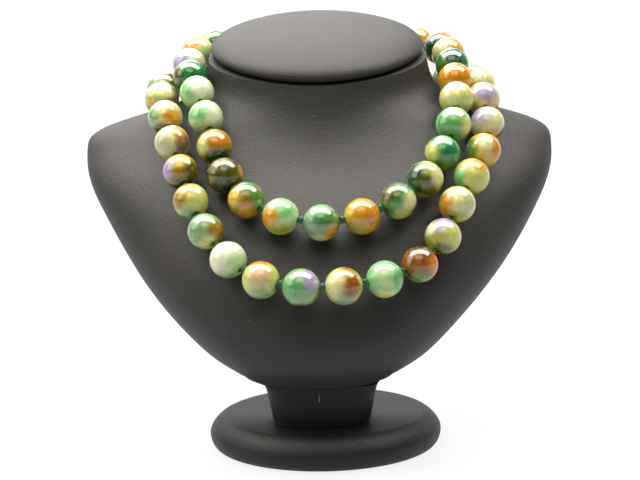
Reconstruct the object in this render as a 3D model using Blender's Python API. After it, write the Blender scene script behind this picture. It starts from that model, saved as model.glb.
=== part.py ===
"""A long rope of round beads, doubled round a leather-covered neck bust.

Units are metres. +Z is up, the bust faces -Y, and the origin is the centre of
the base's underside.
"""
import math

import bmesh
import bpy
import numpy as np
from mathutils import Matrix, Vector

# Base and stem
BASE_RADIUS = 0.0458
BASE_THICKNESS = 0.0125
BASE_FOOT_SHARE = 0.92
BASE_TOP_SHARE = 0.85
BASE_WIDEST_SHARE = 0.46
BASE_EDGE_POWER = 1.6
STEM_HEIGHT = 0.015
STEM_WIDTH_TOP = 0.0435
STEM_WIDTH_FOOT = 0.0385
STEM_DEPTH = 0.033
STEM_SETBACK = -0.0095
STEM_SIDE_SHIFT = -0.0013
STEM_SQUARENESS = 3.6

# Bust
BUST_HEIGHT = 0.148
SHOULDER_WIDTH = 0.193
NECK_WIDTH = 0.088
CHEST_REACH = 0.045
NECK_BACK_REACH = 0.097
BACK_LEAN = math.radians(31.8)
BACK_FOOT = 0.0082
PANEL_THICKNESS = 0.0018
PANEL_RIM = 0.0006
PANEL_FOOT_SHARE = 0.03
PANEL_TOP_SHARE = 0.70

# Neck cap
CAP_WIDTH = 0.0888
CAP_DEPTH = 0.086
CAP_THICKNESS = 0.009
CAP_SLANT = math.radians(16.5)
CAP_SQUARENESS = 1.9
NECK_FRONT_HEIGHT = 0.113

# Rope of beads
BEAD_DIAMETER = 0.014
BEAD_COUNT = 58
BORE_DIAMETER = 0.0023
SILK_DIAMETER = 0.0012
KNOT_DIAMETER = 0.0034
KNOT_END_SHARE = 0.55
SILK_MOUTH_SHARE = 0.96
STRING_POLE_SHARE = 0.7
FRONT_BEADS_PER_ROW = 20

# Clearance between pieces that touch
SEAT_GAP = 0.0003

# Mesh fineness
AROUND_BUST = 36
AROUND_BASE = 36
BASE_EDGE_LEVELS = 6
AROUND_STEM = 28
PANEL_LEVELS = 13
AROUND_BEAD = 12
BEAD_BANDS = 5
AROUND_SILK = 6
SAME_PLACE = 1e-7

BASE_TOP = BASE_THICKNESS
STEM_FOOT = BASE_TOP + SEAT_GAP
STEM_TOP = STEM_FOOT + STEM_HEIGHT
BUST_FOOT = STEM_TOP + SEAT_GAP
BEAD_RADIUS = BEAD_DIAMETER / 2

# Horizontal sections of the bust. Height is a share of BUST_HEIGHT. The half
# width is a share of the shoulder's plus a share of the neck's. Front and
# middle are shares of CHEST_REACH in front of the base's axis where negative,
# and of NECK_BACK_REACH behind it where positive, and so is the back, before
# the flat back is cut. The powers are those of the section's rounded front and
# back halves, and drift moves a section sideways by a share of the shoulder's
# half width.
SECTION_COLUMNS = ("height", "shoulder", "neck", "front", "middle", "back",
                   "front_power", "back_power", "drift")
SECTIONS = (
    (0.000, 0.25, 0.00, -0.67, -0.14, 0.15, 2.00, 2.5, -0.025),
    (0.040, 0.40, 0.00, -0.89, 0.00, 0.18, 2.00, 3.0, -0.018),
    (0.115, 0.54, 0.00, -1.00, 0.06, 0.25, 2.00, 3.0, -0.018),
    (0.215, 0.69, 0.00, -0.93, 0.14, 0.36, 2.00, 3.0, -0.013),
    (0.315, 0.81, 0.00, -0.75, 0.23, 0.45, 2.05, 3.0, -0.004),
    (0.420, 0.915, 0.00, -0.484, 0.33, 0.55, 2.05, 3.0, 0.000),
    (0.485, 0.97, 0.00, -0.269, 0.38, 0.62, 2.03, 3.0, 0.000),
    (0.555, 1.00, 0.00, -0.042, 0.43, 0.68, 1.85, 3.0, 0.000),
    (0.610, 1.00, 0.00, 0.043, 0.47, 0.74, 1.58, 3.0, 0.000),
    (0.650, 0.71, 0.52, 0.075, 0.49, 0.78, 1.45, 3.0, 0.000),
    (0.690, 0.35, 0.77, 0.097, 0.505, 0.80, 1.48, 3.0, 0.000),
    (0.730, 0.10, 0.94, 0.111, 0.51, 0.80, 1.62, 3.0, 0.000),
    (0.770, 0.00, 1.07, 0.121, 0.51, 0.83, 1.78, 3.0, 0.000),
    (0.825, 0.00, 1.03, 0.129, 0.515, 0.87, 1.92, 2.8, 0.000),
    (0.890, 0.00, 1.00, 0.135, 0.535, 0.93, 2.00, 2.6, 0.000),
    (1.000, 0.00, 0.98, 0.141, 0.57, 1.00, 2.00, 2.4, 0.000),
)
LEVELS_BETWEEN_SECTIONS = 2
SECTION_SOFTNESS = 0.018
SOFTENING = ((-2, 1), (-1, 2), (0, 3), (1, 2), (2, 1))

# Outlines from foot to top: a share of the half width, and of the thickness or height.
CAP_OUTLINE = ((0.93, 0.0), (0.975, 0.08), (1.0, 0.25), (0.985, 0.42), (0.94, 0.6), (0.86, 0.73),
               (0.74, 0.83), (0.6, 0.91), (0.4, 0.965), (0.15, 1.0))
STEM_OUTLINE = ((0.97, 0.0), (0.99, 0.06), (0.995, 0.5), (1.0, 0.8), (1.015, 0.93), (1.04, 1.0))

# Chosen points of the rope's route in millimetres, one at about every second bead.
# It starts behind the neck at the left, runs along the inner row, crosses over
# the other end behind the neck and comes back along the outer row.
ROUTE_MM = (
    (-44, 80.5, 156), (-53.5, 53, 149), (-48.5, 23, 138.5), (-40.5, -0.5, 118),
    (-29.5, -19.5, 101), (0.5, -30, 92), (33.5, -20, 101), (49.5, 0, 117.5),
    (55, 17.5, 133), (56, 52, 148), (52.5, 80, 153), (35.5, 96, 154),
    (4, 103.5, 143.5), (-25, 96, 137), (-53.5, 72.5, 141.5), (-64, 50, 140),
    (-62, 22.5, 131.5), (-53.5, -5.5, 109), (-43, -26.5, 88.5), (-23, -41.5, 73),
    (9.5, -47, 71), (38.5, -35, 78), (52.5, -17.5, 97.5), (65.5, 7.5, 117.5),
    (66.5, 33, 135.5), (63.5, 61, 139.5), (44.5, 80, 138.5), (13.5, 87.5, 140.5),
    (-22.5, 90.5, 148.5),
)
INNER_ROW_FIRST = 1
OUTER_ROW_FIRST = 30


def material(name, colour, roughness, metallic=0.0):
    """A Principled material with one colour."""
    made = bpy.data.materials.new(name)
    made.use_nodes = True
    shader = made.node_tree.nodes["Principled BSDF"]
    shader.inputs["Base Color"].default_value = (*colour, 1.0)
    shader.inputs["Roughness"].default_value = roughness
    shader.inputs["Metallic"].default_value = metallic
    return made


def add_object(name, mesh, surface, matrix=None, crease=35):
    """An object of one mesh, shaded smooth but for its sharp edges."""
    if not mesh.materials:
        mesh.materials.append(surface)
    mesh.shade_smooth()
    mesh.set_sharp_from_angle(angle=math.radians(crease))
    made = bpy.data.objects.new(name, mesh)
    if matrix is not None:
        made.matrix_world = matrix
    bpy.context.scene.collection.objects.link(made)
    return made


def mesh_from(name, bm):
    """The finished mesh of a bmesh, with its faces pointing out."""
    bmesh.ops.recalc_face_normals(bm, faces=bm.faces)
    mesh = bpy.data.meshes.new(name)
    bm.to_mesh(mesh)
    bm.free()
    return mesh


def skin(bm, rings, closed=False):
    """Joins rings of equal length into a wall, with a lid on each open end."""
    rows = [[bm.verts.new(point) for point in ring] for ring in rings]
    count = len(rows[0])
    pairs = list(zip(rows, rows[1:]))
    if closed:
        pairs.append((rows[-1], rows[0]))
    for low, high in pairs:
        for i in range(count):
            j = (i + 1) % count
            bm.faces.new((low[i], low[j], high[j], high[i]))
    if not closed:
        bm.faces.new(rows[0][::-1])
        bm.faces.new(rows[-1])


def loft(name, rings, closed=False):
    """A closed mesh through rings of points."""
    bm = bmesh.new()
    skin(bm, rings, closed)
    return mesh_from(name, bm)


def signed_power(value, power):
    return math.copysign(abs(value) ** power, value)


def superellipse(half_width, half_depth, power, count, height):
    """A ring of points round Z, with its corners rounded by the power."""
    ring = []
    for i in range(count):
        turn = 2 * math.pi * i / count
        x = half_width * signed_power(math.cos(turn), 2 / power)
        y = half_depth * signed_power(math.sin(turn), 2 / power)
        ring.append(Vector((x, y, height)))
    return ring


def blend(heights, values, height):
    """A smooth value between the rows of a table that never overshoots them."""
    steps = [b - a for a, b in zip(heights, heights[1:])]
    rises = [(b - a) / s for a, b, s in zip(values, values[1:], steps)]
    slopes = [rises[0]]
    for before, after in zip(rises, rises[1:]):
        level = before * after <= 0
        slopes.append(0.0 if level else 2 * before * after / (before + after))
    slopes.append(rises[-1])
    i = 0
    while i < len(steps) - 1 and height > heights[i + 1]:
        i += 1
    t = (height - heights[i]) / steps[i]
    start = values[i] * (1 + 2 * t) * (1 - t) ** 2
    end = values[i + 1] * t * t * (3 - 2 * t)
    bend = slopes[i] * t * (1 - t) ** 2 - slopes[i + 1] * t * t * (1 - t)
    return start + end + steps[i] * bend


def reach(share):
    """A place along Y from its share of the reach before or behind the axis."""
    return share * (CHEST_REACH if share < 0 else NECK_BACK_REACH)


SECTION_TABLE = {column: [row[i] for row in SECTIONS] for i, column in enumerate(SECTION_COLUMNS)}
for column in ("front", "middle", "back"):
    SECTION_TABLE[column] = [reach(share) for share in SECTION_TABLE[column]]


def section_size(column, share):
    """A column at a height, averaged over nearby heights so that no row shows as a ridge."""
    total = 0.0
    for step, weight in SOFTENING:
        near = min(max(share + step * SECTION_SOFTNESS, 0.0), 1.0)
        total += weight * blend(SECTION_TABLE["height"], SECTION_TABLE[column], near)
    return total / sum(weight for _, weight in SOFTENING)


def half_width(share):
    shoulder = section_size("shoulder", share) * SHOULDER_WIDTH / 2
    return shoulder + section_size("neck", share) * NECK_WIDTH / 2


def drift(share):
    return section_size("drift", share) * SHOULDER_WIDTH / 2


def flat_half_width(share, y):
    """Half the width of the bust's flat back, where the cut meets a section."""
    middle = section_size("middle", share)
    back = section_size("back", share) - middle
    power = section_size("back_power", share)
    inside = max(0.0, 1 - ((y - middle) / back) ** power)
    return half_width(share) * inside ** (1 / power)


def bust_ring(share):
    """One horizontal section of the bust, from its right side round by the back."""
    width = half_width(share)
    middle = section_size("middle", share)
    front = middle - section_size("front", share)
    back = section_size("back", share) - middle
    ring = []
    for i in range(AROUND_BUST):
        turn = 2 * math.pi * (i + 0.5) / AROUND_BUST
        behind = math.sin(turn) > 0
        power = section_size("back_power" if behind else "front_power", share)
        depth = back if behind else front
        x = drift(share) + width * signed_power(math.cos(turn), 2 / power)
        y = middle + depth * signed_power(math.sin(turn), 2 / power)
        ring.append(Vector((x, y, BUST_FOOT + share * BUST_HEIGHT)))
    return ring


def cut(bm, point, normal):
    """Cuts away what lies beyond a plane and closes the cut with a flat face."""
    geometry = bm.verts[:] + bm.edges[:] + bm.faces[:]
    found = bmesh.ops.bisect_plane(bm, geom=geometry, dist=SAME_PLACE, plane_co=point,
                                   plane_no=normal, clear_outer=True)
    edges = [item for item in found["geom_cut"] if isinstance(item, bmesh.types.BMEdge)]
    bmesh.ops.holes_fill(bm, edges=edges, sides=0)


BACK_POINT = Vector((0, BACK_FOOT, BUST_FOOT))
BACK_NORMAL = Vector((0, math.cos(BACK_LEAN), -math.sin(BACK_LEAN)))
CAP_NORMAL = Vector((0, -math.sin(CAP_SLANT), math.cos(CAP_SLANT)))
NECK_FRONT = SECTION_TABLE["front"][-2]
CAP_SEAT = Vector((0, NECK_FRONT, BUST_FOOT + NECK_FRONT_HEIGHT))


def bust_body():
    """Chest, shoulders and neck, with a flat leaning back and a slanted top."""
    heights = SECTION_TABLE["height"]
    shares = [heights[0]]
    for low, high in zip(heights, heights[1:]):
        for step in range(1, LEVELS_BETWEEN_SECTIONS + 1):
            shares.append(low + (high - low) * step / LEVELS_BETWEEN_SECTIONS)
    bm = bmesh.new()
    skin(bm, [bust_ring(share) for share in shares])
    bmesh.ops.recalc_face_normals(bm, faces=bm.faces)
    cut(bm, BACK_POINT, BACK_NORMAL)
    cut(bm, CAP_SEAT, CAP_NORMAL)
    return mesh_from("bust_body", bm)


def back_panel():
    """A thin plate on the flat back. Its rim shows past the bust's lower edges."""
    outline = []
    for i in range(PANEL_LEVELS):
        rise = i / (PANEL_LEVELS - 1)
        share = PANEL_FOOT_SHARE + (PANEL_TOP_SHARE - PANEL_FOOT_SHARE) * rise
        height = share * BUST_HEIGHT
        y = BACK_FOOT + height * math.tan(BACK_LEAN)
        flat = flat_half_width(share, y)
        wide = flat + (half_width(share) + PANEL_RIM - flat) * (1 - rise)
        outline.append((drift(share), wide, Vector((0, y, BUST_FOOT + height))))
    right = [centre + Vector((middle + wide, 0, 0)) for middle, wide, centre in outline]
    left = [centre + Vector((middle - wide, 0, 0)) for middle, wide, centre in outline]
    ring = right + left[::-1]
    inner = [point + BACK_NORMAL * SEAT_GAP for point in ring]
    outer = [point + BACK_NORMAL * (SEAT_GAP + PANEL_THICKNESS) for point in ring]
    return loft("back_panel", [inner, outer])


def neck_cap():
    """The puffy oval pad on the slanted top of the neck."""
    half_depth = CAP_DEPTH / 2
    place = CAP_SEAT + CAP_NORMAL * SEAT_GAP
    matrix = Matrix.Translation(place) @ Matrix.Rotation(CAP_SLANT, 4, "X")
    shift = Vector((0, half_depth - (CAP_WIDTH - NECK_WIDTH), 0))
    rings = []
    for spread, rise in CAP_OUTLINE:
        ring = superellipse(CAP_WIDTH / 2 * spread, half_depth * spread, CAP_SQUARENESS,
                            AROUND_BUST, rise * CAP_THICKNESS)
        rings.append([matrix @ (point + shift) for point in ring])
    return loft("neck_cap", rings)


def stem():
    """The short post between base and bust, flared where it meets the bust."""
    rings = []
    for spread, rise in STEM_OUTLINE:
        width = STEM_WIDTH_FOOT + (STEM_WIDTH_TOP - STEM_WIDTH_FOOT) * rise
        depth = STEM_DEPTH * min(spread, 1.0)
        ring = superellipse(width / 2 * spread, depth / 2, STEM_SQUARENESS, AROUND_STEM,
                            STEM_FOOT + rise * STEM_HEIGHT)
        rings.append([point + Vector((STEM_SIDE_SHIFT, STEM_SETBACK, 0)) for point in ring])
    return loft("stem", rings)


def base():
    """The round foot, padded and widest near its middle height."""
    rings = []
    for i in range(BASE_EDGE_LEVELS):
        turn = math.pi / 2 * (i / BASE_EDGE_LEVELS - 1)
        spread = BASE_FOOT_SHARE + (1 - BASE_FOOT_SHARE) * math.cos(turn)
        rings.append((spread, BASE_WIDEST_SHARE * (1 + math.sin(turn))))
    for i in range(BASE_EDGE_LEVELS + 1):
        turn = math.pi / 2 * i / BASE_EDGE_LEVELS
        inward = math.cos(turn) ** (2 / BASE_EDGE_POWER)
        upward = math.sin(turn) ** (2 / BASE_EDGE_POWER)
        spread = BASE_TOP_SHARE + (1 - BASE_TOP_SHARE) * inward
        rings.append((spread, BASE_WIDEST_SHARE + (1 - BASE_WIDEST_SHARE) * upward))
    return loft("base", [superellipse(BASE_RADIUS * spread, BASE_RADIUS * spread, 2, AROUND_BASE,
                                      BASE_THICKNESS * rise) for spread, rise in rings])


def closed_curve(points, steps=24):
    """A smooth closed curve through points, as a dense run of places."""
    points = np.array(points, float)
    count = len(points)
    system = np.zeros((count, count))
    for i in range(count):
        system[i, i] = 4.0
        system[i, (i - 1) % count] = 1.0
        system[i, (i + 1) % count] = 1.0
    ahead = np.roll(points, -1, axis=0)
    behind = np.roll(points, 1, axis=0)
    slopes = np.linalg.solve(system, 3 * (ahead - behind))
    dense = []
    for i in range(count):
        j = (i + 1) % count
        for step in range(steps):
            t = step / steps
            dense.append(points[i] * (1 + 2 * t) * (1 - t) ** 2 + points[j] * t * t * (3 - 2 * t)
                         + slopes[i] * t * (1 - t) ** 2 - slopes[j] * t * t * (1 - t))
    return np.array(dense)


def bead_places():
    """The centre and the direction of each bead, evenly spaced along the route."""
    curve = closed_curve(np.array(ROUTE_MM) / 1000)
    loop = np.vstack([curve, curve[:1]])
    lengths = np.linalg.norm(np.diff(loop, axis=0), axis=1)
    along = np.concatenate([[0.0], np.cumsum(lengths)])
    stations = along[-1] * np.arange(BEAD_COUNT) / BEAD_COUNT
    centres = [Vector([np.interp(s, along, loop[:, k]) for k in range(3)]) for s in stations]
    directions = []
    for i in range(BEAD_COUNT):
        before = centres[i - 1]
        after = centres[(i + 1) % BEAD_COUNT]
        directions.append((after - before).normalized())
    return centres, directions


def ring_across(centre, direction, radius, count, start):
    """A round ring of points across a direction, turned from a start vector."""
    side = (start - direction * start.dot(direction)).normalized()
    other = direction.cross(side)
    turns = [2 * math.pi * i / count for i in range(count)]
    return [centre + (side * math.cos(t) + other * math.sin(t)) * radius for t in turns]


def tube(name, stations, count):
    """A closed tube of changing radius through (centre, direction, radius)."""
    start = stations[0][1].orthogonal().normalized()
    rings = []
    for centre, direction, radius in stations:
        ring = ring_across(centre, direction, radius, count, start)
        rings.append(ring)
        start = (ring[0] - centre).normalized()
    return loft(name, rings)


def bead_bands(radius_at_pole):
    """Axial place and radius of a bead's rings, from one pole to the other."""
    first = math.asin(radius_at_pole / BEAD_RADIUS)
    bands = []
    for i in range(BEAD_BANDS + 1):
        turn = first + (math.pi - 2 * first) * i / BEAD_BANDS
        bands.append((-BEAD_RADIUS * math.cos(turn), BEAD_RADIUS * math.sin(turn)))
    return bands


def drilled_bead():
    """A round bead with a bore along Z."""
    rings = []
    for height, radius in bead_bands(BORE_DIAMETER / 2):
        rings.append(superellipse(radius, radius, 2, AROUND_BEAD, height))
    return loft("bead", rings, closed=True)


def knot_stations(here, here_way, there, there_way):
    """The silk and its knot between two neighbouring beads."""
    leave = here + here_way * BEAD_RADIUS
    enter = there - there_way * BEAD_RADIUS
    way = (enter - leave).normalized()
    middle = (leave + enter) / 2
    shoulder = KNOT_DIAMETER / 2 * KNOT_END_SHARE
    lean = max(way.angle(here_way), way.angle(there_way))
    half = (enter - leave).length / 2 - SEAT_GAP - shoulder * math.sin(lean)
    return [(middle - way * half, way, shoulder), (middle, way, KNOT_DIAMETER / 2),
            (middle + way * half, way, shoulder)]


def silk(name, centres, directions, first, last):
    """The knotted silk through the drilled beads of one row's front."""
    stations = []
    for i in range(first - 1, last + 1):
        here, way = centres[i], directions[i]
        if i >= first:
            mouth = way * (BEAD_RADIUS * SILK_MOUTH_SHARE)
            stations.append((here - mouth, way, SILK_DIAMETER / 2))
            stations.append((here + mouth, way, SILK_DIAMETER / 2))
        stations += knot_stations(here, way, centres[i + 1], directions[i + 1])
    return tube(name, stations, AROUND_SILK)


def rear_string(name, centres, directions, numbers):
    """The beads and knots behind the neck, as one fused body."""
    stations = []
    for k, i in enumerate(numbers):
        here, way = centres[i], directions[i]
        for place, radius in bead_bands(SILK_DIAMETER * STRING_POLE_SHARE):
            stations.append((here + way * place, way, radius))
        if k < len(numbers) - 1:
            j = numbers[k + 1]
            stations.append(knot_stations(here, way, centres[j], directions[j])[1])
    return tube(name, stations, AROUND_BEAD)


def build():
    for leftover in list(bpy.data.objects):
        bpy.data.objects.remove(leftover)

    leather = material("black_leatherette", (0.045, 0.043, 0.040), 0.55)
    stone = material("green_amber_stone", (0.36, 0.55, 0.27), 0.12)
    green_silk = material("dark_green_silk", (0.004, 0.05, 0.03), 0.6)

    add_object("base", base(), leather)
    add_object("stem", stem(), leather)
    add_object("bust_body", bust_body(), leather)
    add_object("back_panel", back_panel(), leather)
    add_object("neck_cap", neck_cap(), leather)

    centres, directions = bead_places()
    bead = drilled_bead()
    rows = (("inner", INNER_ROW_FIRST), ("outer", OUTER_ROW_FIRST))
    for row, first in rows:
        last = first + FRONT_BEADS_PER_ROW - 1
        for i in range(first, last + 1):
            turn = Vector((0, 0, 1)).rotation_difference(directions[i]).to_matrix().to_4x4()
            place = Matrix.Translation(centres[i]) @ turn
            add_object(f"{row}_bead_{i - first + 1:02d}", bead, stone, place)
        add_object(f"{row}_silk", silk(f"{row}_silk", centres, directions, first, last), green_silk)

    inner_last = INNER_ROW_FIRST + FRONT_BEADS_PER_ROW
    over = list(range(inner_last, OUTER_ROW_FIRST))
    outer_last = OUTER_ROW_FIRST + FRONT_BEADS_PER_ROW
    under = [i % BEAD_COUNT for i in range(outer_last, BEAD_COUNT + INNER_ROW_FIRST)]
    for name, numbers in (("rear_string_over", over), ("rear_string_under", under)):
        add_object(name, rear_string(name, centres, directions, numbers), stone)


build()
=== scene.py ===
"""A rope of mottled stone beads, knotted on green silk and doubled round a black neck bust."""
import math

import bmesh
import bpy
import numpy as np
from mathutils import Matrix, Vector, noise


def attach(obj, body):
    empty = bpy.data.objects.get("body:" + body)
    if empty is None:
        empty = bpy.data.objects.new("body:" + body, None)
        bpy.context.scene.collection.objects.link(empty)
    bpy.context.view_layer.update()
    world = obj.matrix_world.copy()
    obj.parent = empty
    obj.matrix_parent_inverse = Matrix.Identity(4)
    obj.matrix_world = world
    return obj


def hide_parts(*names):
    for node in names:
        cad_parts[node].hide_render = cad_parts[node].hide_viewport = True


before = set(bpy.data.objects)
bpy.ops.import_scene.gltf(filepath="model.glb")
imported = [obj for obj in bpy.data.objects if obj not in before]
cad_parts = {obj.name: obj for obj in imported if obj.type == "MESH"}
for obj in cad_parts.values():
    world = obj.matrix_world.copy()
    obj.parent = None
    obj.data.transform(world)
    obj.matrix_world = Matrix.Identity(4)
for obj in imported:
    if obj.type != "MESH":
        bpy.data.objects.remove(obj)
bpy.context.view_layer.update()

# The photograph's view
# A long lens stands about 62 cm in front of the bust, a little above its neck,
# and is turned slightly, so that the bust seems to lean to the left.
lens_mm = 90
sensor_mm = 36
lens_place = Vector((-0.00057, -0.62084, 0.17174))
lens_pitch = math.radians(8.3)
lens_roll = math.radians(1.3)

sight = Vector((0, math.cos(lens_pitch), -math.sin(lens_pitch)))
level = Vector((1, 0, 0))
upright = level.cross(sight)
across = level * math.cos(lens_roll) - upright * math.sin(lens_roll)
above = level * math.sin(lens_roll) + upright * math.cos(lens_roll)
lens = bpy.data.cameras.new("camera")
lens.lens = lens_mm
lens.sensor_width = sensor_mm
lens.clip_start = 0.01
camera = bpy.data.objects.new("camera", lens)
camera.matrix_world = Matrix.Translation(lens_place) @ Matrix((across, above, -sight)).transposed().to_4x4()
bpy.context.scene.collection.objects.link(camera)
bpy.context.scene.camera = camera

# Base
# A round padded foot, widest near its middle height, wrapped in black leatherette
# that is drawn tight over it and turned under. It carries the whole bust.
base_radius = 0.0458
base_thickness = 0.0125
base_foot_share = 0.92
base_top_share = 0.85
base_widest_share = 0.46
base_edge_power = 1.6
base_lid_shares = (0.8, 0.6, 0.4, 0.15)
base_sides = 144
base_under_steps = 12
base_over_steps = 24


def linear(code):
    """A colour in linear light from its sRGB hex value."""
    parts = [int(code[i:i + 2], 16) / 255 for i in (1, 3, 5)]
    return [p / 12.92 if p <= 0.04045 else ((p + 0.055) / 1.055) ** 2.4 for p in parts] + [1.0]


def node(tree, kind, links=None, **settings):
    """Adds a node: a setting is a property, or an input's value when its name is an input's."""
    made = tree.nodes.new(kind)
    for name, value in settings.items():
        if hasattr(made, name):
            setattr(made, name, value)
        else:
            made.inputs[name.replace("_", " ")].default_value = value
    for name, source in (links or {}).items():
        tree.links.new(source, made.inputs[name])
    return made


def new_finish(name):
    """An empty material with its Principled shader."""
    made = bpy.data.materials.new(name)
    made.use_nodes = True
    return made, made.node_tree, made.node_tree.nodes["Principled BSDF"]


# Black PU leatherette, embossed with a fine pebble grain. The grain's cells are about
# 0.7 mm, and a few specks of dust catch the light as they do on such a cover. The foot
# and stem get a darker copy of it, as painted shade for the bust's shadow over them.
def leatherette(name, worn, fresh):
    pebble_mm, crease_mm, cloud_mm, dust_mm = 0.7, 1.6, 30, 6
    finish, tree, shader = new_finish(name)
    place = node(tree, "ShaderNodeTexCoord").outputs["Object"]
    pebbles = node(tree, "ShaderNodeTexVoronoi", {"Vector": place}, feature="SMOOTH_F1",
                   Scale=1000 / pebble_mm)
    creases = node(tree, "ShaderNodeTexNoise", {"Vector": place}, Scale=1000 / crease_mm, Detail=4.0)
    clouds = node(tree, "ShaderNodeTexNoise", {"Vector": place}, Scale=1000 / cloud_mm, Detail=2.0)
    height = node(tree, "ShaderNodeMath", {0: pebbles.outputs["Distance"], 1: creases.outputs["Fac"]},
                  operation="ADD")
    bump = node(tree, "ShaderNodeBump", {"Height": height.outputs[0]}, Strength=0.5, Distance=0.00018)
    tone = node(tree, "ShaderNodeValToRGB", {"Fac": clouds.outputs["Fac"]})
    tone.color_ramp.elements[0].position = 0.3
    tone.color_ramp.elements[0].color = linear(fresh)
    tone.color_ramp.elements[1].position = 0.7
    tone.color_ramp.elements[1].color = linear(worn)
    dust = node(tree, "ShaderNodeTexVoronoi", {"Vector": place}, Scale=1000 / dust_mm, Randomness=1.0)
    speck = node(tree, "ShaderNodeMath", {0: dust.outputs["Distance"]}, operation="LESS_THAN")
    speck.inputs[1].default_value = 0.026
    colour = node(tree, "ShaderNodeMix", {"Factor": speck.outputs[0], "A": tone.outputs["Color"]},
                  data_type="RGBA")
    colour.inputs[7].default_value = linear("#8d8983")
    rough = node(tree, "ShaderNodeMapRange", {"Value": creases.outputs["Fac"]})
    rough.inputs["To Min"].default_value = 0.48
    rough.inputs["To Max"].default_value = 0.6
    tree.links.new(colour.outputs[2], shader.inputs["Base Color"])
    tree.links.new(rough.outputs["Result"], shader.inputs["Roughness"])
    tree.links.new(bump.outputs["Normal"], shader.inputs["Normal"])
    shader.inputs["IOR"].default_value = 1.45
    shader.inputs["Specular IOR Level"].default_value = 0.36
    return finish


leather = leatherette("embossed_black_leatherette", "#2f2d2a", "#292826")
# Painted shade: the foot and stem take this darker copy because they sit in the bust's shadow.
painted_shade_foot_leather = leatherette("leatherette_darkened_as_painted_shade", "#1b1a18", "#161513")


def piece(name, mesh, finish, slot, *nodes, crease=40):
    """A finished piece that stands in for some of the CAD nodes."""
    mesh.materials.clear()
    mesh.materials.append(finish)
    mesh.shade_smooth()
    mesh.set_sharp_from_angle(angle=math.radians(crease))
    made = bpy.data.objects.new(name, mesh)
    bpy.context.scene.collection.objects.link(made)
    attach(made, "root")
    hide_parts(*nodes)
    return made


def lofted(name, rings):
    """A closed mesh through rings of points, with a lid on each end."""
    bm = bmesh.new()
    rows = [[bm.verts.new(point) for point in ring] for ring in rings]
    count = len(rows[0])
    for low, high in zip(rows, rows[1:]):
        for i in range(count):
            bm.faces.new((low[i], low[(i + 1) % count], high[(i + 1) % count], high[i]))
    bm.faces.new(rows[0][::-1])
    bm.faces.new(rows[-1])
    bmesh.ops.recalc_face_normals(bm, faces=bm.faces)
    mesh = bpy.data.meshes.new(name)
    bm.to_mesh(mesh)
    bm.free()
    return mesh


def rounded(half_width, half_depth, power, count, height):
    """A level ring whose corners are rounded by the power."""
    ring = []
    for i in range(count):
        c, s = math.cos(math.tau * i / count), math.sin(math.tau * i / count)
        ring.append(Vector((half_width * math.copysign(abs(c) ** (2 / power), c),
                            half_depth * math.copysign(abs(s) ** (2 / power), s), height)))
    return ring


base_outline = []
for i in range(base_under_steps):
    turn = math.pi / 2 * (i / base_under_steps - 1)
    spread = base_foot_share + (1 - base_foot_share) * math.cos(turn)
    base_outline.append((spread, base_widest_share * (1 + math.sin(turn))))
for i in range(base_over_steps + 1):
    turn = math.pi / 2 * i / base_over_steps
    spread = base_top_share + (1 - base_top_share) * math.cos(turn) ** (2 / base_edge_power)
    rise = base_widest_share + (1 - base_widest_share) * math.sin(turn) ** (2 / base_edge_power)
    base_outline.append((spread, rise))
for share in base_lid_shares:
    base_outline.append((base_top_share * share, 1.0))
base_rings = [rounded(base_radius * spread, base_radius * spread, 2, base_sides, base_thickness * rise)
              for spread, rise in base_outline]
piece("leather_covered_base", lofted("leather_covered_base", base_rings), painted_shade_foot_leather, "leatherette", "base")

# Stem
# A short moulded post with rounded corners, glued between base and bust. Its
# leatherette is wrapped round and closed by a seam down the front.
stem_foot = 0.0128
stem_height = 0.015
stem_width_foot = 0.0385
stem_width_top = 0.0435
stem_depth = 0.033
stem_setback = -0.0095
stem_side_shift = -0.0013
stem_corner_power = 3.6
stem_sides = 96
stem_outline = ((0.985, 0.0), (0.975, 0.03), (0.985, 0.1), (0.99, 0.3), (0.995, 0.55), (1.0, 0.75),
                (1.01, 0.88), (1.025, 0.96), (1.04, 1.0))

stem_rings = []
for spread, rise in stem_outline:
    width = stem_width_foot + (stem_width_top - stem_width_foot) * rise
    ring = rounded(width / 2 * spread, stem_depth / 2 * min(spread, 1.0), stem_corner_power, stem_sides,
                   stem_foot + rise * stem_height)
    stem_rings.append([point + Vector((stem_side_shift, stem_setback, 0)) for point in ring])
piece("leather_covered_stem", lofted("leather_covered_stem", stem_rings), painted_shade_foot_leather, "leatherette", "stem")

# Stem seam
# The cover's edges meet in a seam down the front of the stem. Near its top the seam
# is drawn as a thin pale strip, whose paleness is a painted glint.
seam_top = 0.0253
seam_length = 0.0029
seam_width = 0.00035
seam_x = -0.0023
seam_proud = 0.00005
seam_levels = (0.0, 0.2, 0.5, 0.8, 1.0)
seam_sides = 8


# A pale matt finish with a fine nap for the thread-wide strip, its paleness a painted glint on the seam.
def painted_glint_seam_finish():
    nap_mm = 0.3
    finish, tree, shader = new_finish("pale_seam_painted_glint")
    place = node(tree, "ShaderNodeTexCoord").outputs["Object"]
    nap = node(tree, "ShaderNodeTexNoise", {"Vector": place}, Scale=1000 / nap_mm, Detail=2.0)
    tone = node(tree, "ShaderNodeValToRGB", {"Fac": nap.outputs["Fac"]})
    tone.color_ramp.elements[0].color = linear("#6e6a62")
    tone.color_ramp.elements[1].color = linear("#b9b3a6")
    tree.links.new(tone.outputs["Color"], shader.inputs["Base Color"])
    shader.inputs["Roughness"].default_value = 0.9
    return finish


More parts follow.
